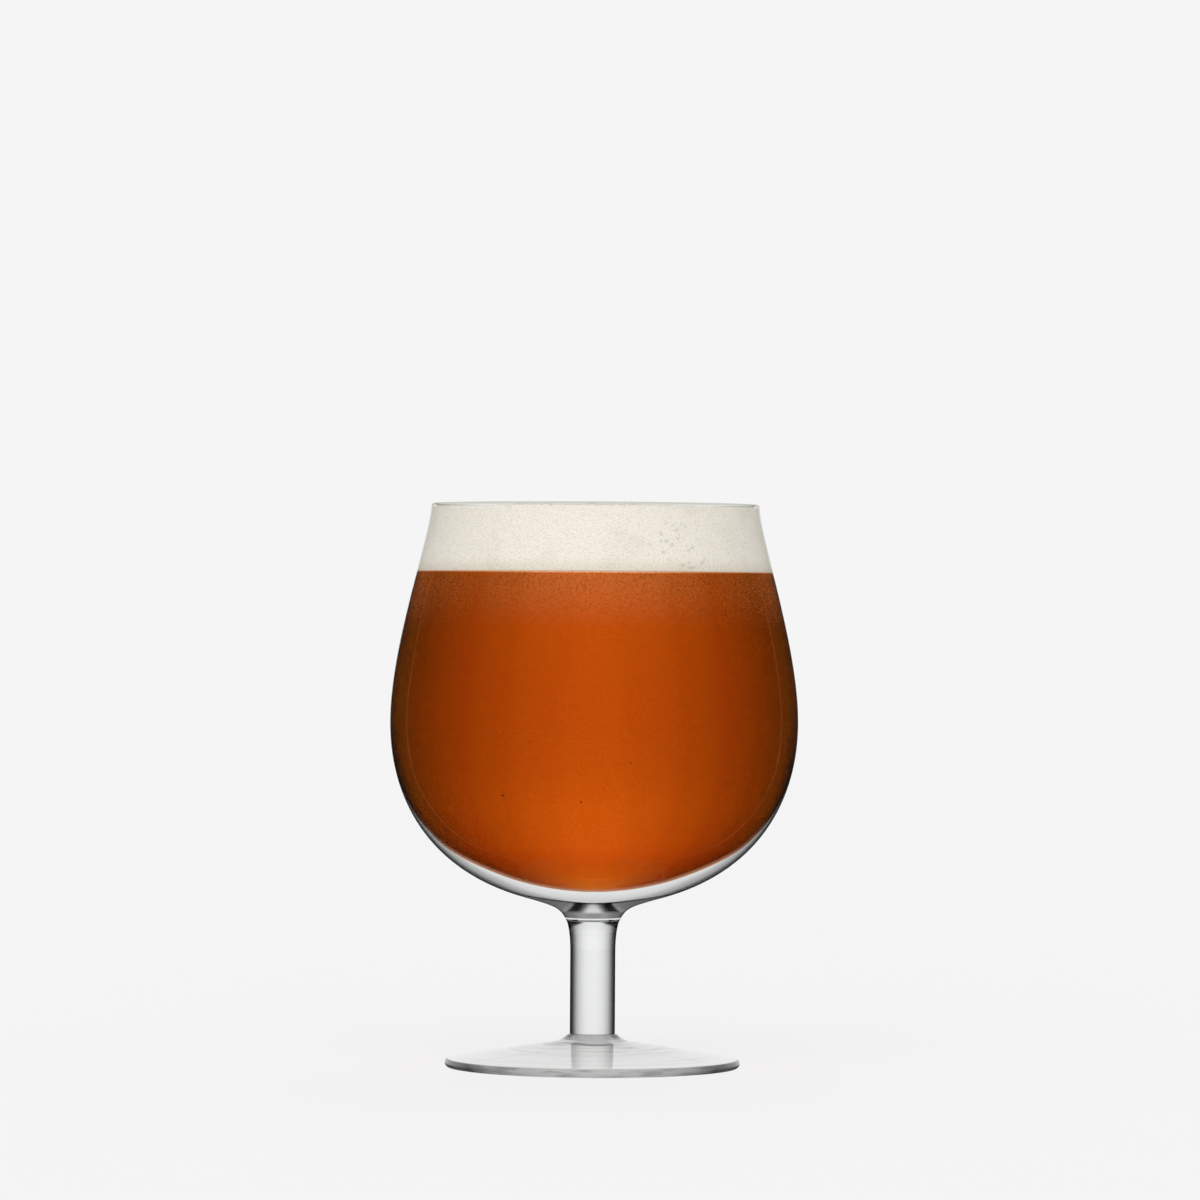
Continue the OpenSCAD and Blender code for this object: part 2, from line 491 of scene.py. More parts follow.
def tilt_of(tree):
    upward = upward_of(tree)
    return maths(tree, "MULTIPLY", upward, upward)


def sideways_of(tree, rise=VIEW_RISE):
    """The square of how far the surface turns to the left or right, for a viewer a little above it."""
    cosine = maths(tree, "SUBTRACT", 1.0, facing_of(tree))
    level = maths(tree, "SUBTRACT", cosine, maths(tree, "MULTIPLY", upward_of(tree), rise))
    upright = maths(tree, "MAXIMUM", maths(tree, "SUBTRACT", 1.0, tilt_of(tree)), LEAST_UPRIGHT)
    share = maths(tree, "DIVIDE", maths(tree, "MULTIPLY", level, level), upright)
    return maths(tree, "SUBTRACT", 1.0, share)


# %% [markdown]
# Every finish starts as an empty node tree, and the same few steps come back in all of them: a colour
# from a ramp, a mix of two colours, the height of a place, and a group put in with its own values. Each
# step is a helper that adds its nodes and hands back a socket, so that a finish reads like a recipe.

# %% Tools for finishes


def new_finish(name):
    """An empty material, its node tree and its output node."""
    finish = bpy.data.materials.new(name)
    finish.use_nodes = True
    tree = finish.node_tree
    tree.nodes.clear()
    return finish, tree, add(tree, "ShaderNodeOutputMaterial")


def ramp(tree, fac, stops, hue=(1, 1, 1)):
    """A colour ramp's result. A stop is a place and a colour, or a place and a grey of this hue."""
    node = add(tree, "ShaderNodeValToRGB")
    stop_list = node.color_ramp.elements
    while len(stop_list) < len(stops):
        stop_list.new(1.0)
    for stop, (place, level) in zip(stop_list, stops):
        levels = level if isinstance(level, tuple) else [level * h for h in hue]
        stop.position = place
        stop.color = (*levels, 1)
    tree.links.new(fac, node.inputs["Fac"])
    return node.outputs["Color"]


def blended(tree, fac, a, b, how="MIX"):
    """A colour mix's result: a at 0, b at 1 for a plain mix."""
    node = add(tree, "ShaderNodeMix", data_type="RGBA", blend_type=how)
    for socket, value in zip((node.inputs[0], node.inputs[6], node.inputs[7]), (fac, a, b)):
        put(tree, socket, value)
    return node.outputs[2]


def height_of(tree):
    return z_of(tree, object_place(tree))


def placed_group(tree, group, **inputs):
    """A shader group in a material, with its own values."""
    node = add(tree, "ShaderNodeGroup", node_tree=group)
    return feed(tree, node, **inputs).outputs


# %% [markdown]
# The stem is a solid rod of glass, so it is a strong lens: bright in the middle, and dark at both sides,
# where it shows the dark cards. Bent light alone could do that if the cards stood in the scene. A ramp
# by facing paints that shade instead, because it works from every side. The stem's head spreads at the
# top, where the painted dark sides close in, and a thin line of painted shade shows where the stem's end
# sits in the foot.

# %% Tone of the stem
GLASS_HUE = (0.985, 1.0, 0.99)
STEM_SHADE = (
    (0.0, 1.0), (0.023, 0.97), (0.062, 0.87), (0.123, 0.71), (0.21, 0.46), (0.335, 0.155),
    (0.43, 0.035), (0.525, 0.0065), (0.65, 0.001), (1.0, 0.0002),
)
HEAD_FROM = 36.7 * MM
HEAD_TO = 37.5 * MM
HEAD_DARK_FROM = 0.13
HEAD_DARK = 3.5
# painted shade: a thin dark line where the stem's end sits in the foot
STEM_END_DARK = (0.12, 0.12, 0.12, 1)
STEM_END_WIDTH = 0.5 * MM
collar_height = max(z for r, z in outlines["foot"])


def stem_tone(tree):
    """Painted shade, dark at both sides and more so where the head spreads, with a line at the foot."""
    facing = facing_of(tree)
    spread = between(tree, height_of(tree), HEAD_FROM, HEAD_TO, 0.0, HEAD_DARK)
    beyond = maths(tree, "MAXIMUM", maths(tree, "SUBTRACT", facing, HEAD_DARK_FROM), 0.0)
    tone = ramp(tree, maths(tree, "ADD", facing, maths(tree, "MULTIPLY", beyond, spread)),
                STEM_SHADE, GLASS_HUE)
    end = between(tree, height_of(tree), collar_height + STEM_END_WIDTH, collar_height)
    return blended(tree, end, tone, STEM_END_DARK, "MULTIPLY")


print("the stem leaves the foot at", round(collar_height / MM, 1), "mm")

# %% [markdown]
# The bowl's wall is thin and its two faces run side by side, so light goes straight on through it. Its
# painted shade darkens the wall only at its very edge: strongly low down, where it is thick, and hardly
# at the rim, and greys a band at the lip. On the flat underside that edge would come too early, so it is
# put off there. In front of the foam the wall has less shine, because the foam is too pale to show much
# of it.

# %% Tone of the bowl's wall
BAND_SHADE = (
    (0.0, 1.0), (0.60, 1.0), (0.66, 0.95), (0.70, 0.84), (0.72, 0.62), (0.75, 0.42), (0.787, 0.30),
    (0.815, 0.15), (0.845, 0.04), (0.89, 0.008), (0.94, 0.003), (1.0, 0.001),
)
RIM_SHADE = ((0.0, 1.0), (0.93, 1.0), (1.0, 0.6))
RIM_FROM = 75 * MM
RIM_TO = 100 * MM
# painted shade: a grey band along the lip
LIP_SHADE = (0.50, 0.47, 0.40, 1)
LIP_FROM = 143.8 * MM
LIP_TO = 144.7 * MM
FOAM_SHINE = 0.35
FOAM_FROM = 125 * MM
FOAM_TO = 129 * MM
UNDERSIDE_LIFT = 0.10
UNDERSIDE_TILT = (0.72, 0.9)


def wall_tone(tree):
    """Painted shade, dark at the edge low down and light at the rim. The flat underside darkens later."""
    flat = between(tree, tilt_of(tree), *UNDERSIDE_TILT, 0.0, UNDERSIDE_LIFT)
    lift = maths(tree, "MULTIPLY", flat, maths(tree, "SUBTRACT", 1.0, sideways_of(tree)))
    low = ramp(tree, maths(tree, "SUBTRACT", facing_of(tree), lift), BAND_SHADE, GLASS_HUE)
    high = ramp(tree, facing_of(tree), RIM_SHADE, GLASS_HUE)
    tone = blended(tree, between(tree, height_of(tree), RIM_FROM, RIM_TO), low, high)
    return blended(tree, between(tree, height_of(tree), LIP_FROM, LIP_TO), tone, LIP_SHADE, "MULTIPLY")


def wall_shine(tree):
    """Less shine in front of the foam, which is too pale to show much of it."""
    return between(tree, height_of(tree), FOAM_FROM, FOAM_TO, 1.0, FOAM_SHINE)


# %% [markdown]
# The collar, where the bowl sweeps into the stem, is a strong lens too: a bright spot between two dark
# patches, over a light seam and under a dark arc. Real bending would need the whole studio round the
# glass to show the same. So all of it is painted light and shade: the patches by how far a place lies
# from the middle and by its height, the seam as a light line and a dark line under the arc, and the arc
# rises to both sides.

# %% Tone of the collar
COLLAR_VIEW_RISE = 0.0506
COLLAR_SHADE = (
    (0.0, 0.09), (0.05, 0.10), (0.12, 0.12), (0.36, 0.05), (0.72, 0.03), (0.9, 0.005), (1.0, 0.001),
)
COLLAR_FROM = 39.7 * MM
COLLAR_TO = 40.7 * MM
COLLAR_TOP_SHADE = (
    (0.0, 0.62), (0.03, 0.55), (0.07, 0.36), (0.11, 0.15), (0.16, 0.03), (0.22, 0.003), (0.28, 0.0001),
    (0.41, 0.0001), (0.45, 0.006), (0.49, 0.10), (0.56, 0.10), (0.62, 0.065), (1.0, 0.06),
)
COLLAR_SLANT = 0.5
COLLAR_SPAN = 10 * MM
COLLAR_EDGE_SHADE = ((0.0, 1.0), (0.8, 1.0), (0.92, 0.2), (1.0, 0.02))
SEAM_AT = 38.40 * MM
SEAM_WIDTH = 0.30 * MM
# painted highlight: a light line along the seam
SEAM_HIGHLIGHT = grey(1.0)
ARC_LOW = 43.1 * MM
ARC_RISE = 2.5 * MM
ARC_SOFT = 0.1 * MM
ARC_LINE = (-0.85 * MM, -0.35 * MM)
# painted shade: a dark line just under the arc
ARC_LINE_DARK = grey(0.04)


def away_from(tree, value, at):
    """How far a value is from a place, either way."""
    return maths(tree, "ABSOLUTE", maths(tree, "SUBTRACT", value, at))


def length_of(tree, vector):
    node = add(tree, "ShaderNodeVectorMath", operation="LENGTH")
    tree.links.new(vector, node.inputs[0])
    return node.outputs["Value"]


def axis_distance(tree):
    return length_of(tree, scaled(tree, object_place(tree), (1, 1, 0)))


def collar_tone(tree):
    """Painted light and shade: a bright spot, a dark patch either side, a light seam and a dark arc."""
    turn = maths(tree, "MAXIMUM", sideways_of(tree, COLLAR_VIEW_RISE), 0.0)
    arc = maths(tree, "ADD", maths(tree, "MULTIPLY", turn, ARC_RISE), ARC_LOW)
    above = maths(tree, "SUBTRACT", height_of(tree), arc)
    across = maths(tree, "MULTIPLY", maths(tree, "SQRT", turn), axis_distance(tree))
    across = maths(tree, "ADD", across, maths(tree, "MULTIPLY", above, COLLAR_SLANT))
    low = ramp(tree, turn, COLLAR_SHADE, GLASS_HUE)
    high = ramp(tree, maths(tree, "DIVIDE", across, COLLAR_SPAN), COLLAR_TOP_SHADE, GLASS_HUE)
    high = blended(tree, 1.0, high, ramp(tree, turn, COLLAR_EDGE_SHADE), "MULTIPLY")
    tone = blended(tree, between(tree, height_of(tree), COLLAR_FROM, COLLAR_TO), low, high)
    seam = between(tree, away_from(tree, height_of(tree), SEAM_AT), SEAM_WIDTH, 0.0)
    tone = blended(tree, seam, tone, SEAM_HIGHLIGHT)
    tone = blended(tree, between(tree, above, *ARC_LINE), tone, ARC_LINE_DARK, "MULTIPLY")
    return blended(tree, between(tree, above, -ARC_SOFT, ARC_SOFT), tone, wall_tone(tree))


# %% [markdown]
# The foot was spun while it was soft, and faint rings from that run round it. A noise bumps them in and
# paints them a little darker, as painted shade: its fourth coordinate grows outwards, so the rings are a
# little uneven, as real ones are. Dark streaks of painted shade run round the foot near the collar and
# in the rounded edge. The slope's painted shade is pale and darkens towards the collar. The rounded edge
# is painted dark, most of all at its left and right ends.

# %% Tone of the foot
FOOT_SHADE = ((0.25, 0.77), (0.42, 0.63), (0.60, 0.46))
FOOT_SPAN = 10 * MM
FOOT_EDGE_SHADE = (
    (0.0, 0.30), (0.3, 0.17), (0.45, 0.11), (0.57, 0.035), (0.7, 0.003), (0.85, 0.008), (1.0, 0.01),
)
FOOT_EDGE_TILT = (0.6, 0.9)
FOOT_BELOW = (-0.8, -0.95)
SHINE_UPWARD = (-0.2, 0.1)
# painted shade: the foot's rings drawn a little darker
FOOT_RIPPLE_SHADE = grey(0.80)
RIPPLES_PER_METRE = 30.0
RIPPLE_HEIGHT = 0.02 * MM
RIPPLE_SCALE = 25.0
RIPPLE_RANGE = (0.45, 0.7)
STREAK_RANGE = (0.45, 0.65)
STREAKS_PER_METRE = (110.0, 110.0, 1100.0)
# painted shade: dark streaks in the rounded edge
EDGE_STREAK_SHADE = grey(0.45)
COLLAR_STREAKS_PER_METRE = (70.0, 70.0, 2400.0)
# painted shade: dark streaks on the slope near the collar
COLLAR_STREAK_SHADE = grey(0.25)
COLLAR_STREAK_FROM = 4.0 * MM
COLLAR_STREAK_TO = 6.8 * MM


def bumped(tree, height, strength, distance):
    """A normal with this height worked into it."""
    node = add(tree, "ShaderNodeBump")
    return feed(tree, node, Height=height, Strength=strength, Distance=distance).outputs[0]


def foot_ripples(tree, place):
    """The faint rings that the foot's spinning has left in it."""
    wave = add(tree, "ShaderNodeTexNoise", noise_dimensions="4D")
    feed(tree, wave, Vector=place, W=maths(tree, "MULTIPLY", length_of(tree, place), RIPPLES_PER_METRE),
         Scale=RIPPLE_SCALE, Detail=2.0)
    return wave.outputs[0]


def foot_bump(tree):
    return bumped(tree, foot_ripples(tree, object_place(tree)), 1.0, RIPPLE_HEIGHT)


def streaks(tree, place, per_metre):
    """A mask of streaks that run round the foot."""
    streak = cloud(tree, scaled(tree, place, per_metre), Scale=1.0, Detail=3.0)
    return between(tree, streak, *STREAK_RANGE)


def foot_tone(tree):
    """Painted shade: pale slope with darker rings and streaks, dark at both ends of the rounded edge."""
    place = object_place(tree)
    level = maths(tree, "DIVIDE", height_of(tree), FOOT_SPAN)
    slope = ramp(tree, level, FOOT_SHADE, GLASS_HUE)
    wave = between(tree, foot_ripples(tree, place), *RIPPLE_RANGE)
    slope = blended(tree, wave, slope, FOOT_RIPPLE_SHADE, "MULTIPLY")
    near = between(tree, height_of(tree), COLLAR_STREAK_FROM, COLLAR_STREAK_TO)
    rings = maths(tree, "MULTIPLY", streaks(tree, place, COLLAR_STREAKS_PER_METRE), near)
    slope = blended(tree, rings, slope, COLLAR_STREAK_SHADE, "MULTIPLY")
    edge = ramp(tree, sideways_of(tree), FOOT_EDGE_SHADE, GLASS_HUE)
    edge = blended(tree, streaks(tree, place, STREAKS_PER_METRE), edge, EDGE_STREAK_SHADE, "MULTIPLY")
    tone = blended(tree, between(tree, tilt_of(tree), *FOOT_EDGE_TILT), edge, slope)
    return blended(tree, between(tree, upward_of(tree), *FOOT_BELOW), tone, (*GLASS_HUE, 1))


def foot_shine(tree):
    """No shine on the underside, which is hidden."""
    return between(tree, upward_of(tree), *SHINE_UPWARD)


# %% [markdown]
# The glass finishes differ mostly in tone, in bending and in shine, so one function makes them all. The
# thin wall and the foot bend almost nothing, and a clear coat gives them the shine of glass. Only the
# solid stem bends light fully. Rays from lamps pass straight through, so that they light the foam behind
# the glass. Wet glass has no shine, because beer against it takes the step between glass and air away.
# The faces where two pieces are fused have a finish of their own, which shows nothing.

# %% Finish: clear glass
GLASS_IOR = 1.5
STRAIGHT_IOR = 1.0001
LAMP_TINT = (0.93, 0.94, 0.94, 1)
GLASS_CLEAN = 0.004
GLASS_SMEARED = 0.03
GLASS_SMEARS_PER_METRE = 35.0
COAT_ROUGH = 0.01


def lamps_pass(tree, output, shader, tint):
    """Shows a shader, but lets the rays that carry lamp light to other pieces go straight through."""
    rays = add(tree, "ShaderNodeLightPath").outputs
    clear = add(tree, "ShaderNodeBsdfTransparent")
    clear.inputs["Color"].default_value = tint
    either = add(tree, "ShaderNodeMixShader")
    tree.links.new(maths(tree, "MAXIMUM", rays["Is Shadow Ray"], rays["Is Diffuse Ray"]), either.inputs[0])
    tree.links.new(shader, either.inputs[1])
    tree.links.new(clear.outputs[0], either.inputs[2])
    tree.links.new(either.outputs[0], output.inputs["Surface"])


def clear_glass(name, tone_of, ior=GLASS_IOR, smeared=True, wall=None, shine_of=wall_shine, bump_of=None):
    """Glass of this tone, or plain without one. A thin wall is "dry", with shine, or "wet"."""
    finish, tree, output = new_finish(name)
    behind = add(tree, "ShaderNodeNewGeometry").outputs["Backfacing"]
    glass = add(tree, "ShaderNodeBsdfPrincipled")
    feed(tree, glass, Base_Color=(*GLASS_HUE, 1), IOR=ior, Transmission_Weight=1.0, Roughness=0.0)
    if tone_of:
        feed(tree, glass, Base_Color=blended(tree, behind, tone_of(tree), (*GLASS_HUE, 1)))
    if bump_of:
        feed(tree, glass, Normal=bump_of(tree))
    if smeared:
        marks = placed_group(tree, SMEARS, Per_metre=GLASS_SMEARS_PER_METRE)
        rough = between(tree, marks["Mask"], 0.0, 1.0, GLASS_CLEAN, GLASS_SMEARED, "LINEAR")
        feed(tree, glass, Roughness=rough)
    if wall:
        feed(tree, glass, Specular_Tint=(0, 0, 0, 1))
    if wall == "dry":
        outside = maths(tree, "SUBTRACT", 1.0, behind)
        feed(tree, glass, Coat_Weight=maths(tree, "MULTIPLY", outside, shine_of(tree)),
             Coat_IOR=GLASS_IOR, Coat_Roughness=COAT_ROUGH if smeared else 0.0)
    lamps_pass(tree, output, glass.outputs[0], LAMP_TINT)
    return finish


def fused_joint():
    finish, tree, output = new_finish("fused_joint")
    nothing = add(tree, "ShaderNodeBsdfPrincipled")
    feed(tree, nothing, Alpha=0.0)
    tree.links.new(nothing.outputs[0], output.inputs["Surface"])
    return finish


GLASS = {
    "bowl": clear_glass("bowl_glass", wall_tone, ior=STRAIGHT_IOR, wall="dry"),
    "stem": clear_glass("stem_glass", stem_tone),
    "foot": clear_glass("foot_glass", foot_tone, ior=STRAIGHT_IOR, smeared=False, wall="dry",
                        shine_of=foot_shine, bump_of=foot_bump),
}
SPECIAL = {
    "joint": fused_joint(),
    "wet": clear_glass("wet_glass", None, ior=STRAIGHT_IOR, wall="wet"),
    "collar": clear_glass("collar_glass", collar_tone, ior=STRAIGHT_IOR, wall="dry"),
}
print("finishes:", [f.name for f in (*GLASS.values(), *SPECIAL.values())])

# %% [markdown]
# The three glass pieces are made on their own but fused while hot, so light crosses a joint without
# bending. Each piece stays a closed shell, and the faces that two pieces share get a finish that shows
# nothing. A face is on a joint if its rings are on both outlines. The stem's side first gets a ring at
# the height of the foot's collar, where it comes out of its socket.

# %% The glass: bowl, stem and foot
WALL_PARTS = 2
FOAM_EDGE_BEYOND = 30 * MM
COLLAR_TOP = 45.2 * MM


def with_ring(points, height):
    """The outline with one more point where its first step up crosses this height."""
    for i in range(len(points) - 1):
        low, high = points[i][1], points[i + 1][1]
        if low + RING_GAP < height < high - RING_GAP:
            share = (height - low) / (high - low)
            return np.insert(points, i + 1, points[i] + share * (points[i + 1] - points[i]), axis=0)
    return points


def shared_points(points, *others):
    """1 for each point that is also on one of the other outlines, and 0 for the rest."""
    there = np.vstack(others)
    return np.array([float(np.abs(there - p).max(axis=1).min() < RING_GAP) for p in points])


foam_edge_height = max(z for r, z in outlines["foam_head"] if r > FOAM_EDGE_BEYOND)
glass_outlines = {
    "bowl": smoothed(outlines["bowl"], WALL_PARTS),
    "stem": smoothed(with_ring(outlines["stem"], collar_height), WALL_PARTS),
    "foot": smoothed(outlines["foot"], WALL_PARTS),
}
bowl_points = glass_outlines["bowl"]
inside_bowl = np.arange(len(bowl_points)) > bowl_points[:, 1].argmax()
glass_pieces = {}
for node, points in glass_outlines.items():
    others = [o for n, o in glass_outlines.items() if n != node]
    joint = shared_points(points, *others)
    marks = {"joint": joint}
    if node == "bowl":
        marks["wet"] = (inside_bowl & (points[:, 1] < foam_edge_height + RING_GAP)).astype(float)
        marks["collar"] = (~inside_bowl & (points[:, 1] < COLLAR_TOP)).astype(float)
    glass_pieces[node] = spun("glass_" + node, points, GLASS[node], marks, SPECIAL)
    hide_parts(node)
    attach(glass_pieces[node], "root")
    print(node, "has", int(joint.sum()), "rings on joints")

# %% [markdown]
# Beer is a clear liquid that takes out blue, then green, then a little red, so the longer the way
# through it, the deeper the amber. A Volume Absorption does just that. A full bowl is also a lens: near
# its left and right outline it shows the dark sides of the room, so the beer falls off to a deep brown
# there, and that fall-off is painted shade, by how far the surface turns. Low in the bowl it shows the
# beer above, so it stays amber where the way through it is short. Just under the foam the beer is hazy
# with tiny bubbles, and lighter in soft mottles. Fine lines of painted light, a painted reflection line
# near each side and a pale fringe of painted light near the outline lie over it. In a mirror image the
# beer is painted near black, as a painted reflection.

# %% Finish: amber beer
BEER_DENSITY = 36.2
BEER_HUE = (0.90, 0.480, 0.026, 1)
BEER_SHADE = (
    (0.0, (1.0, 0.35, 0.012)), (0.04, (0.80, 0.26, 0.008)), (0.20, (0.465, 0.112, 0.0014)),
    (0.42, (0.24, 0.033, 0.0003)), (0.64, (0.105, 0.0105, 0.0)), (0.77, (0.055, 0.005, 0.0)),
    (0.92, (0.027, 0.0024, 0.0)), (1.0, (0.014, 0.0006, 0.0)),
)
HAZE_SHADE = (
    (0.0, (1.0, 1.0, 1.0)), (0.04, (0.85, 0.75, 0.6)), (0.20, (0.5, 0.3, 0.1)),
    (0.42, (0.282, 0.080, 0.0072)), (0.77, (0.139, 0.022, 0.001)), (0.92, (0.20, 0.0225, 0.0018)),
    (1.0, (0.10, 0.010, 0.0008)),
)
DEEP_SHADE = (
    (0.0, (0.83, 1.0, 1.0)), (0.10, (0.9, 1.0, 0.8)), (0.22, (1.0, 0.97, 0.6)),
    (0.46, (0.97, 0.61, 0.34)), (0.645, (0.85, 0.35, 0.13)), (0.79, (0.65, 0.21, 0.03)),
    (0.914, (0.65, 0.19, 0.08)),
)
GRAIN_SHADE = ((0.36, 0.68), (0.5, 1.0), (0.62, 1.0))
HAZE_DEPTH = 15 * MM
# painted reflection: a thin light line added near each side of the beer
SIDE_LINE_AT = 0.61
SIDE_LINE_WIDTH = 0.011
SIDE_LINE_REFLECTION = (0.030, 0.010, 0.0016, 1)
# painted light: fine light lines laid over the middle of the beer
PAINTED_LIGHT_LINES = (
    (0.70, 0.008, 0.08, (1.3, 1.4, 1.3, 1)),
    (0.785, 0.014, 0.014, (1.5, 1.7, 2.2, 1)),
)
# painted light: a pale fringe near the beer's outline, where its surface leans
FRINGE_LIGHT = (0.50, 0.155, 0.075, 1)
FRINGE_FACING = (0.83, 0.97)
FRINGE_TILT = (0.3, 0.6)
CLEAR_GRAIN = 0.5
MOTTLES_PER_METRE = 1400.0
MOTTLE_RANGE = (0.3, 0.7)
LEAST_HAZE = 0.4
BEER_ROUGH = (0.03, 0.10)
BEER_SMEARS_PER_METRE = 60.0
# painted reflection: the beer turns near black in a mirror image
MIRRORED_BEER = grey(0.01)
ANY_MIRROR = 0.5


def beer_tone(tree):
    """Amber with painted shade by turn, hazy at the top, with painted light lines and a pale fringe."""
    turn = sideways_of(tree)
    deep = ramp(tree, tilt_of(tree), DEEP_SHADE)
    clear = blended(tree, 1.0, ramp(tree, turn, BEER_SHADE), deep, "MULTIPLY")
    mottle = cloud(tree, object_place(tree), Scale=MOTTLES_PER_METRE, Detail=3.0, Roughness=0.7)
    patchy = between(tree, mottle, *MOTTLE_RANGE, LEAST_HAZE)
    haze = between(tree, height_of(tree), beer_top - HAZE_DEPTH, beer_top)
    tone = blended(tree, maths(tree, "MULTIPLY", haze, patchy), clear, ramp(tree, turn, HAZE_SHADE))
    grain = ramp(tree, mottle, GRAIN_SHADE)
    tone = blended(tree, maths(tree, "MAXIMUM", haze, CLEAR_GRAIN), tone, grain, "MULTIPLY")
    for at, width, reach, light in PAINTED_LIGHT_LINES:
        line = between(tree, away_from(tree, facing_of(tree), at), width, 0.0)
        middle = between(tree, turn, reach, reach / 2)
        tone = blended(tree, maths(tree, "MULTIPLY", line, middle), tone, light, "MULTIPLY")
    line = between(tree, away_from(tree, facing_of(tree), SIDE_LINE_AT), SIDE_LINE_WIDTH, 0.0)
    tone = blended(tree, line, tone, SIDE_LINE_REFLECTION, "ADD")
    brink = maths(tree, "MULTIPLY", between(tree, facing_of(tree), *FRINGE_FACING),
                  between(tree, tilt_of(tree), *FRINGE_TILT))
    return blended(tree, brink, tone, FRINGE_LIGHT)


def amber_beer():
    finish, tree, output = new_finish("clear_amber")
    behind = add(tree, "ShaderNodeNewGeometry").outputs["Backfacing"]
    marks = placed_group(tree, SMEARS, Per_metre=BEER_SMEARS_PER_METRE, Stretch=1.0)
    rough = between(tree, marks["Mask"], 0.0, 1.0, *BEER_ROUGH, "LINEAR")
    liquid = add(tree, "ShaderNodeBsdfPrincipled")
    mirrors = add(tree, "ShaderNodeLightPath").outputs["Glossy Depth"]
    mirrored = maths(tree, "GREATER_THAN", mirrors, ANY_MIRROR)
    tone = blended(tree, behind, beer_tone(tree), (1, 1, 1, 1))
    feed(tree, liquid, Base_Color=blended(tree, mirrored, tone, MIRRORED_BEER),
         Roughness=rough, IOR=STRAIGHT_IOR, Transmission_Weight=1.0, Specular_Tint=(0, 0, 0, 1))
    depth = add(tree, "ShaderNodeVolumeAbsorption")
    feed(tree, depth, Color=BEER_HUE, Density=BEER_DENSITY)
    tree.links.new(liquid.outputs[0], output.inputs["Surface"])
    tree.links.new(depth.outputs[0], output.inputs["Volume"])
    return finish


beer_top = outlines["beer"][:, 1].max()
AMBER_BEER = amber_beer()
print("finish:", AMBER_BEER.name)

# %% [markdown]
# A filled glass is a lens that makes the drink look wider than it is: the beer seems to fill the thin
# upper wall, and low in the bowl the thick glass shows as a clear band. The wall here bends nothing, so
# the drink itself is drawn that much wider, up to about a millimetre, and never through the glass.

# %% The beer
INTO_FOAM = 0.04 * MM
WET = 0.12 * MM
WIDER = 1.07 * MM
WIDER_FROM = 49 * MM
WIDER_TO = 59 * MM
MOST_OF_WALL = 0.9
WALL_STEPS = 24
BEER_PARTS = 3


def eased(t):
    t = np.clip(t, 0, 1)
    return t * t * (3 - 2 * t)


def widened(points):
    """The outline of a drink that runs up its side, moved out into the wall as far as it seems to reach."""
    ways = np.gradient(points, axis=0)
    normals = np.array([unit(np.array([w[1], -w[0]])) for w in ways])
    steps = np.linspace(0, 1, WALL_STEPS, endpoint=False)
    outer = bowl_points[~inside_bowl]
    outer = np.vstack([a + np.outer(steps, b - a) for a, b in zip(outer, outer[1:])])
    wall = np.array([np.linalg.norm(outer - p, axis=1).min() for p in points])
    reach = WET + (WIDER - WET) * eased((points[:, 1] - WIDER_FROM) / (WIDER_TO - WIDER_FROM))
    moved = points + normals * np.minimum(reach, MOST_OF_WALL * wall)[:, None]
    moved[:, 0] = np.maximum(moved[:, 0], 0)
    return moved


beer_outline = smoothed(outlines["beer"], BEER_PARTS)
on_top = beer_outline[:, 1] > beer_top - RING_GAP
beer_side = widened(np.vstack([beer_outline[~on_top], beer_outline[on_top][:1]]))
beer_side[0, 0] = 0.0
beer_side[-1, 1] = beer_top + INTO_FOAM
beer = spun("amber_beer", np.vstack([beer_side, [[0.0, beer_top + INTO_FOAM]]]), AMBER_BEER)
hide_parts("beer")
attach(beer, "root")

# %% [markdown]
# Foam is a pile of tiny bubbles. Through the glass it is a soft cream white with a fine grain, and in
# one nest bigger bubbles show as grey spots. The bubble group gives the grain, the spots and the bump.
# The gaps between bubbles are a little darker and warmer: warmer because beer still drains through them,
# and darker as painted shade. The foam is also darker just above the beer. Its underside glows with
# painted light that stands in for the light that has come down through it, or a dark line would show at
# the top of the beer.

# %% Finish: foam
FOAM_LIGHT = (0.94, 0.88, 0.79, 1)
# gaps between bubbles: warmer from draining beer, darker as painted shade
FOAM_GAP = (0.81, 0.73, 0.62, 1)
FOAM_SPOT = (0.60, 0.57, 0.50, 1)
# the foam is darker just above the beer
FOAM_NEAR_BEER = (0.84, 0.82, 0.78, 1)
FOAM_CLOUD = (0.93, 0.93, 0.92, 1)
CLOUDS_PER_METRE = 75.0
DARK_FOAM_DEPTH = 4 * MM
FOAM_SOAKED = (0.58, 0.22, 0.075, 1)
SOAK_ABOVE = 0.5 * MM
SOAK_BELOW = 0.1 * MM
# painted light: the foam's underside glows
FOAM_UNDER_LIGHT = (0.85, 0.85, 0.85, 1)
NEST = (20 * MM, -36 * MM, 132 * MM)
NEST_R = 11 * MM
CLOUD_RANGE = (0.5, 0.68)
PATCHES_PER_METRE = 90.0
PATCH_RANGE = (0.52, 0.68)
PATCH_SPOTS = 0.4
SPOT_SHARE = 0.6
FOAM_BUMP = (0.35, 0.4 * MM)
FOAM_BELOW = (-0.5, -0.9)


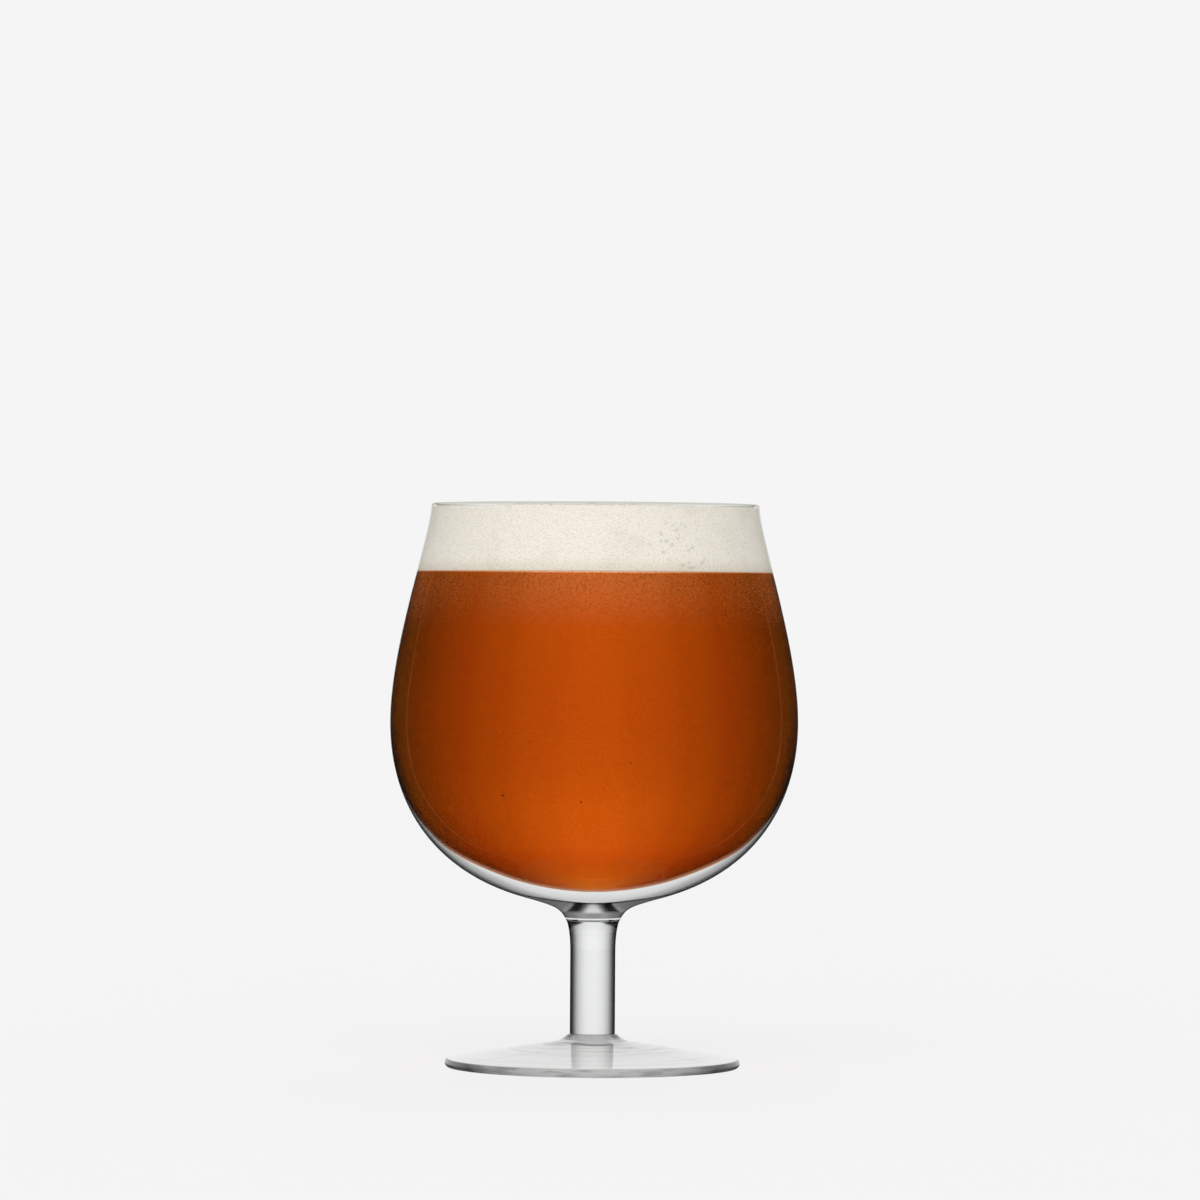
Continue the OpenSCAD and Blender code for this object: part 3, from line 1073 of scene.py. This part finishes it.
def beer_foam():
    finish, tree, output = new_finish("cream_lather")
    cells = placed_group(tree, BUBBLES, Small_per_metre=2300.0, Large_per_metre=420.0, Flatten=1.3)
    place = object_place(tree)
    patches = cloud(tree, place, Scale=PATCHES_PER_METRE, Detail=3.0)
    some = between(tree, patches, *PATCH_RANGE, 0.0, PATCH_SPOTS)
    away = add(tree, "ShaderNodeVectorMath", operation="DISTANCE")
    tree.links.new(place, away.inputs[0])
    away.inputs[1].default_value = NEST
    nest = between(tree, away.outputs["Value"], NEST_R, NEST_R / 2)
    spots = maths(tree, "MULTIPLY", cells["Large"], maths(tree, "MAXIMUM", some, nest))
    grain = blended(tree, cells["Gap"], FOAM_LIGHT, FOAM_GAP)
    colour = blended(tree, maths(tree, "MULTIPLY", spots, SPOT_SHARE), grain, FOAM_SPOT)
    clouds = cloud(tree, place, Scale=CLOUDS_PER_METRE, Detail=4.0)
    colour = blended(tree, between(tree, clouds, *CLOUD_RANGE), colour, FOAM_CLOUD, "MULTIPLY")
    near_beer = between(tree, height_of(tree), beer_top + DARK_FOAM_DEPTH, beer_top)
    colour = blended(tree, near_beer, colour, FOAM_NEAR_BEER, "MULTIPLY")
    soaked = between(tree, height_of(tree), beer_top + SOAK_ABOVE, beer_top - SOAK_BELOW)
    colour = blended(tree, soaked, colour, FOAM_SOAKED)
    normal = bumped(tree, cells["Height"], *FOAM_BUMP)
    lather = add(tree, "ShaderNodeBsdfPrincipled")
    below = between(tree, upward_of(tree), *FOAM_BELOW)
    feed(tree, lather, Base_Color=colour, Roughness=0.55, Normal=normal, Emission_Strength=1.0,
         Emission_Color=blended(tree, below, grey(0.0), FOAM_UNDER_LIGHT))
    tree.links.new(lather.outputs[0], output.inputs["Surface"])
    finish.cycles.emission_sampling = "NONE"
    return finish


BEER_FOAM = beer_foam()
print("finish:", BEER_FOAM.name)

# %% [markdown]
# The head of foam fills the bowl from the beer to the lip, so its side is drawn wider as the beer's is.
# Its crown isn't a smooth dome: the mesh itself gets low swells, and a later cell sets bubbles on it.

# %% The head of foam
SWELL = 0.22 * MM
SWELL_PER_METRE = 260.0
SWELL_FADE = 2 * MM
STILL_EDGE = 0.2 * MM
FOAM_PARTS = 4
NEAR_AXIS = 20 * MM
foam_low = outlines["foam_head"][:, 1].min()
foam_points = smoothed(outlines["foam_head"], FOAM_PARTS)
crown_edge_r = min(r for r, z in outlines["foam_head"] if r > NEAR_AXIS)
rim_edge = max(z for r, z in outlines["foam_head"] if r > crown_edge_r - RING_GAP)
foam_side = (foam_points[:, 0] > crown_edge_r - RING_GAP) & (foam_points[:, 1] <= rim_edge + RING_GAP)
foam_points[foam_side, 0] += WIDER
foam = spun("foam_head_lather", foam_points, BEER_FOAM)
for corner in foam.data.vertices:
    distance = math.hypot(corner.co.x, corner.co.y)
    if corner.co.z > rim_edge and distance < crown_edge_r - STILL_EDGE:
        fade = eased((crown_edge_r - distance) / SWELL_FADE)
        corner.co.z += float(fade) * SWELL * noise.noise(corner.co * SWELL_PER_METRE)
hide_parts("foam_head")
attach(foam, "root")
print("foam from", round(foam_low / MM, 1), "to", round(foam.bound_box[1][2] / MM, 2), "mm")

# %% [markdown]
# Bubbles are scattered, so Geometry Nodes make them: points are dropped on a piece's surface, thinned by
# height and by which way the surface faces, and each point gets a small ball of a random size, pressed
# flat along the surface. One tree serves the bubbles on the crown, the fine bubbles that cling to the
# glass under the foam, and the few specks lower down.

# %% The tree that scatters bubbles
WIDEST_TURN = 0.6
RARITY = 3.0


def scatter_tree():
    tree, known = new_tree("scatter_bubbles", (
        ("Surface", "NodeSocketGeometry"),
        ("Per square metre", "NodeSocketFloat"),
        ("Apart", "NodeSocketFloat"),
        ("Low", "NodeSocketFloat"),
        ("High", "NodeSocketFloat"),
        ("Faces up", "NodeSocketFloat"),
        ("Smallest", "NodeSocketFloat"),
        ("Largest", "NodeSocketFloat"),
        ("Flatten", "NodeSocketFloat"),
        ("Rounds", "NodeSocketInt"),
        ("Seed", "NodeSocketInt"),
        ("Finish", "NodeSocketMaterial"),
    ))
    given = add(tree, "NodeGroupInput").outputs
    height = z_of(tree, add(tree, "GeometryNodeInputPosition").outputs[0])
    height = between(tree, height, given["Low"], given["High"], how="LINEAR")
    way = z_of(tree, add(tree, "GeometryNodeInputNormal").outputs[0])
    turned = away_from(tree, way, given["Faces up"])
    wanted = maths(tree, "MULTIPLY", height, maths(tree, "LESS_THAN", turned, WIDEST_TURN))
    dots = add(tree, "GeometryNodeDistributePointsOnFaces", distribute_method="POISSON")
    feed(tree, dots, Mesh=given["Surface"], Distance_Min=given["Apart"], Seed=given["Seed"],
         Density_Max=given["Per square metre"], Density_Factor=wanted)
    ball = add(tree, "GeometryNodeMeshIcoSphere")
    feed(tree, ball, Radius=1.0, Subdivisions=given["Rounds"])
    chance = add(tree, "FunctionNodeRandomValue", data_type="FLOAT")
    feed(tree, chance, Seed=given["Seed"])
    lot = [s for s in chance.outputs if s.enabled][0]
    rare = maths(tree, "POWER", lot, RARITY)
    span = maths(tree, "SUBTRACT", given["Largest"], given["Smallest"])
    size = maths(tree, "ADD", maths(tree, "MULTIPLY", rare, span), given["Smallest"])
    flat = add(tree, "ShaderNodeCombineXYZ")
    feed(tree, flat, X=size, Y=size, Z=maths(tree, "MULTIPLY", size, given["Flatten"]))
    set_out = add(tree, "GeometryNodeInstanceOnPoints")
    feed(tree, set_out, Points=dots.outputs["Points"], Instance=ball.outputs["Mesh"],
         Rotation=dots.outputs["Rotation"], Scale=flat.outputs[0])
    real = add(tree, "GeometryNodeRealizeInstances")
    feed(tree, real, Geometry=set_out.outputs[0])
    smooth = add(tree, "GeometryNodeSetShadeSmooth")
    feed(tree, smooth, Geometry=real.outputs[0])
    finished = add(tree, "GeometryNodeSetMaterial")
    feed(tree, finished, Geometry=smooth.outputs[0], Material=given["Finish"])
    tree.links.new(finished.outputs[0], add(tree, "NodeGroupOutput").inputs["Piece"])
    return tree, known


SCATTER, SCATTER_INPUTS = scatter_tree()
print("scatter tree has", len(SCATTER.nodes), "nodes")

# %% [markdown]
# The bubbles take their own finishes. On the crown a bubble is a thin wet dome, a bit glossier than the
# lather. Against the glass, fine bubbles are seen as a brown grain in the haze. The specks are
# single bubbles in the beer with the dark room behind them, so they are seen as small dark marks.

# %% Finishes: bubbles
BUBBLE_BUMP = (0.15, 0.2 * MM)


def bubble_finish(name, colour, deep, roughness):
    finish, tree, output = new_finish(name)
    cells = placed_group(tree, BUBBLES, Small_per_metre=2500.0, Large_per_metre=900.0)
    skin = add(tree, "ShaderNodeBsdfPrincipled")
    feed(tree, skin, Base_Color=blended(tree, cells["Gap"], colour, deep), Roughness=roughness,
         Normal=bumped(tree, cells["Height"], *BUBBLE_BUMP))
    tree.links.new(skin.outputs[0], output.inputs["Surface"])
    return finish


CROWN_BUBBLE = bubble_finish("crown_bubble", (0.94, 0.90, 0.82, 1), (0.84, 0.77, 0.65, 1), 0.3)
FINE_BUBBLE = bubble_finish("fine_bubble", (0.22, 0.066, 0.014, 1), (0.17, 0.045, 0.008, 1), 0.45)
DARK_SPECK = bubble_finish("dark_speck", (0.20, 0.055, 0.008, 1), (0.13, 0.03, 0.004, 1), 0.5)
print("finishes:", CROWN_BUBBLE.name, FINE_BUBBLE.name, DARK_SPECK.name)

# %% [markdown]
# The crown's bubbles keep 1.5 mm apart, and a few of them are large. The fine bubbles crowd just under
# the foam and thin out over 12 mm. The specks are few, and most of them are low down. Each set has its
# own seed, so the bubbles are the same in every run.

# %% Scatter the bubbles


def scattered(name, source, finish, slot, **values):
    """A piece of bubbles on a surface. values are the tree's inputs."""
    carrier = bpy.data.objects.new(name + "_surface", source.data.copy())
    bpy.context.scene.collection.objects.link(carrier)
    settings = {SCATTER_INPUTS[label.replace("_", " ")]: value for label, value in values.items()}
    settings[SCATTER_INPUTS["Finish"]] = finish
    piece = plain_piece(name, carrier, SCATTER, settings)
    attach(piece, "root")
    print(name, ":", len(piece.data.polygons), "faces")


scattered("crown_bubbles", foam, CROWN_BUBBLE, "beer_foam",
          Per_square_metre=260000.0, Apart=1.5 * MM, Low=rim_edge - 0.1 * MM, High=rim_edge,
          Faces_up=1.0, Smallest=0.35 * MM, Largest=1.4 * MM, Flatten=0.32, Rounds=2, Seed=11)
scattered("fine_bubbles", beer, FINE_BUBBLE, "amber_beer",
          Per_square_metre=2200000.0, Apart=0.2 * MM, Low=beer_top - 12 * MM, High=beer_top,
          Faces_up=0.0, Smallest=0.06 * MM, Largest=0.14 * MM, Flatten=0.6, Rounds=1, Seed=5)
scattered("dark_specks", beer, DARK_SPECK, "amber_beer",
          Per_square_metre=2500.0, Apart=2.0 * MM, Low=110 * MM, High=60 * MM,
          Faces_up=0.0, Smallest=0.08 * MM, Largest=0.36 * MM, Flatten=0.5, Rounds=1, Seed=8)

# %% [markdown]
# The stage is a pale floor that runs into an equally pale backdrop, so that no line shows where they
# meet. For the camera both are the same light grey. Light that has gone through glass sees that grey
# too, and so does a sharp mirror image. A softer reflection sees the dim room, and everything else gets
# the soft light of the room. The floor keeps a small share of real shading, which holds the soft shadow
# of the glass.

# %% Backdrop: the world
BACKDROP = 0.913
ROOM_LIGHT = 0.55
MIRRORED = 0.012


def backdrop():
    world = bpy.data.worlds.new("studio")
    bpy.context.scene.world = world
    world.use_nodes = True
    tree = world.node_tree
    tree.nodes.clear()
    rays = add(tree, "ShaderNodeLightPath").outputs
    level = blended(tree, rays["Is Glossy Ray"], grey(ROOM_LIGHT), grey(MIRRORED))
    level = blended(tree, rays["Is Singular Ray"], level, grey(BACKDROP))
    level = blended(tree, rays["Is Transmission Ray"], level, grey(BACKDROP))
    level = blended(tree, rays["Is Camera Ray"], level, grey(BACKDROP))
    light = add(tree, "ShaderNodeBackground")
    feed(tree, light, Color=level, Strength=1.0)
    tree.links.new(light.outputs[0], add(tree, "ShaderNodeOutputWorld").inputs["Surface"])


backdrop()
print("backdrop level", BACKDROP)

# %% [markdown]
# The floor is one flat disc, wide enough that its far edge lies well behind the glass. Its paint has a
# faint mottle, as a painted studio floor has.

# %% Floor
FLOOR_R = 4.0
FLOOR_TILES = 48
SHADED_SHARE = 0.18
FLOOR_PAINT = 0.85
FLOOR_GLOW = 0.925
FLOOR_MOTTLE = 0.985


def floor_finish():
    finish, tree, output = new_finish("pale_floor")
    rays = add(tree, "ShaderNodeLightPath").outputs
    straight = maths(tree, "LESS_THAN", rays["Glossy Depth"], ANY_MIRROR)
    through = maths(tree, "MULTIPLY", rays["Is Transmission Ray"], straight)
    mirror = maths(tree, "SUBTRACT", rays["Is Singular Ray"], rays["Is Transmission Ray"])
    seen = maths(tree, "MAXIMUM", maths(tree, "MAXIMUM", rays["Is Camera Ray"], through), mirror)
    mottle = cloud(tree, object_place(tree), Scale=30.0)
    paint = blended(tree, mottle, grey(FLOOR_PAINT), grey(FLOOR_PAINT * FLOOR_MOTTLE))
    shaded = add(tree, "ShaderNodeBsdfDiffuse")
    feed(tree, shaded, Color=paint)
    glow = add(tree, "ShaderNodeEmission")
    feed(tree, glow, Color=blended(tree, seen, grey(MIRRORED), grey(FLOOR_GLOW)), Strength=1.0)
    share = maths(tree, "MAXIMUM", rays["Is Glossy Ray"], rays["Is Camera Ray"])
    plain = maths(tree, "SUBTRACT", 1.0, maths(tree, "MULTIPLY", seen, SHADED_SHARE))
    shown = maths(tree, "MULTIPLY", share, plain)
    both = add(tree, "ShaderNodeMixShader")
    tree.links.new(shown, both.inputs[0])
    tree.links.new(shaded.outputs[0], both.inputs[1])
    tree.links.new(glow.outputs[0], both.inputs[2])
    tree.links.new(both.outputs[0], output.inputs["Surface"])
    return finish


def floor():
    angles = [math.tau * i / FLOOR_TILES for i in range(FLOOR_TILES)]
    places = [(FLOOR_R * math.cos(a), FLOOR_R * math.sin(a), 0) for a in angles]
    mesh = bpy.data.meshes.new("studio_floor")
    mesh.from_pydata(places, [], [range(FLOOR_TILES)])
    mesh.materials.append(floor_finish())
    made = bpy.data.objects.new("studio_floor", mesh)
    bpy.context.scene.collection.objects.link(made)


floor()
print("floor radius, m:", FLOOR_R)

# %% [markdown]
# Two very soft lamps light the foam, the stronger one from the front. Reflections and bent light don't
# see them, because the photograph shows no lamp in the glass. Each row below has a lamp's name, its
# direction and height in degrees, its strength, and its width in degrees.

# %% Lamps
LAMPS = (
    ("key_front", -6, 35, 1.6, 60),
    ("fill_back", 174, 35, 0.8, 60),
)


def lamp(name, azimuth, elevation, strength, softness):
    data = bpy.data.lights.new(name, "SUN")
    data.energy = strength
    data.angle = math.radians(softness)
    made = bpy.data.objects.new(name, data)
    a, e = math.radians(azimuth), math.radians(elevation)
    away = Vector((math.sin(a) * math.cos(e), -math.cos(a) * math.cos(e), math.sin(e)))
    made.rotation_euler = away.to_track_quat("Z", "Y").to_euler()
    made.visible_glossy = False
    made.visible_transmission = False
    bpy.context.scene.collection.objects.link(made)


for settings in LAMPS:
    lamp(*settings)
print("lamps:", [settings[0] for settings in LAMPS])

# %% [markdown]
# The photograph was taken from far off with a long lens, level with the upper bowl, so the rim is almost
# a straight line and the foot a thin oval. The picture is turned by a third of a degree, and so is the
# camera.

# %% Camera
CAMERA_PLACE = (1.3 * MM, -1545 * MM, 120.3 * MM)
CAMERA_ROLL = math.radians(-0.35)
LENS = 180.0
SENSOR = 36.0

camera_data = bpy.data.cameras.new("camera")
camera_data.lens = LENS
camera_data.sensor_width = SENSOR
camera = bpy.data.objects.new("camera", camera_data)
camera.location = CAMERA_PLACE
camera.rotation_euler = (math.pi / 2, CAMERA_ROLL, 0)
bpy.context.scene.collection.objects.link(camera)
bpy.context.scene.camera = camera
bpy.context.scene.view_settings.view_transform = "Standard"
print("camera at", camera.location[:])
